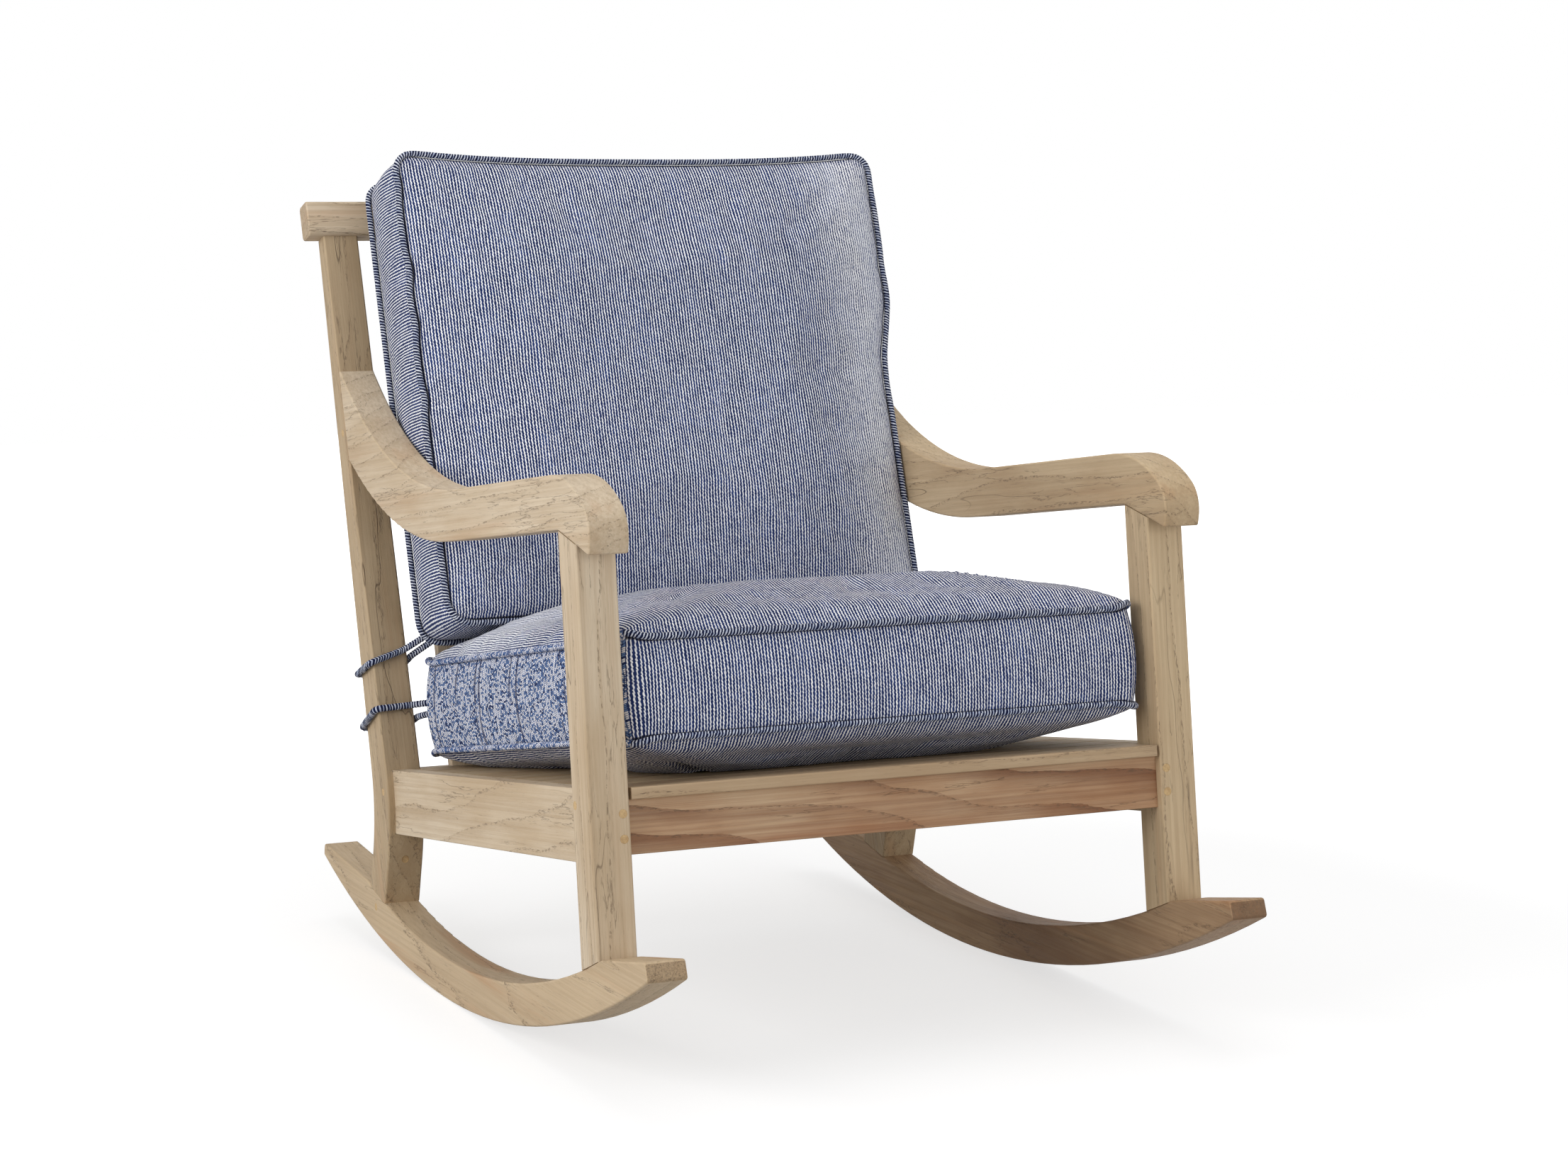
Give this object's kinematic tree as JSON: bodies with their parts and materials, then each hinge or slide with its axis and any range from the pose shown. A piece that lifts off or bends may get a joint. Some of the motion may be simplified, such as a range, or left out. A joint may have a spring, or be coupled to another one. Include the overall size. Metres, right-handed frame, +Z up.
{
  "type": "cushioned rocking armchair",
  "caption": "Teak rocking armchair on curved runners with shaped arms, a slatted deck and back, and tied boxed cushions with piping.",
  "frame": {"origin": "on the floor, under the middle of the chair's overall box", "axes": "+X to the sitter's left hand, +Y to the back of the chair, +Z up; the chair is at rest on its runners"},
  "size_m": [0.785, 1.1252, 1.006],
  "materials": {
    "teak": "weathered, sanded, unvarnished",
    "teak_peg": "end grain, sanded",
    "ribbed_weave": "navy and white corded weave",
    "piping_weave": "bias-cut corded weave",
    "foam": "matt",
    "zip_nylon": "matt",
    "screw_steel": "satin"
  },
  "bodies": {
    "root": {"arm_left": "teak", "arm_pegs": "teak_peg", "arm_right": "teak", "back_cushion_core": "foam", "back_cushion_cover": "ribbed_weave", "back_cushion_zip": "zip_nylon", "back_piping_front": "piping_weave", "back_piping_rear": "piping_weave", "back_post_left": "teak", "back_post_right": "teak", "back_slat_1": "teak", "back_slat_2": "teak", "back_slat_3": "teak", "back_slat_4": "teak", "back_slat_5": "teak", "back_slat_6": "teak", "centre_bearer": "teak", "cleat_screws": "screw_steel", "crest_rail": "teak", "front_board": "teak", "front_leg_left": "teak", "front_leg_right": "teak", "front_rail": "teak", "front_rail_pegs": "teak_peg", "post_plugs": "teak_peg", "rear_rail": "teak", "runner_left": "teak", "runner_pegs": "teak_peg", "runner_right": "teak", "seat_cushion_core": "foam", "seat_cushion_cover": "ribbed_weave", "seat_cushion_zip": "zip_nylon", "seat_piping_bottom": "piping_weave", "seat_piping_top": "piping_weave", "seat_slat_1": "teak", "seat_slat_2": "teak", "seat_slat_3": "teak", "seat_slat_4": "teak", "seat_slat_5": "teak", "seat_slat_6": "teak", "seat_slat_7": "teak", "seat_slat_8": "teak", "side_rail_left": "teak", "side_rail_pegs": "teak_peg", "side_rail_right": "teak", "slat_cleat_left": "teak", "slat_cleat_right": "teak", "slat_screws": "screw_steel", "tie_lower_left": "piping_weave", "tie_lower_right": "piping_weave", "tie_upper_left": "piping_weave", "tie_upper_right": "piping_weave"}
  },
  "joints": []
}
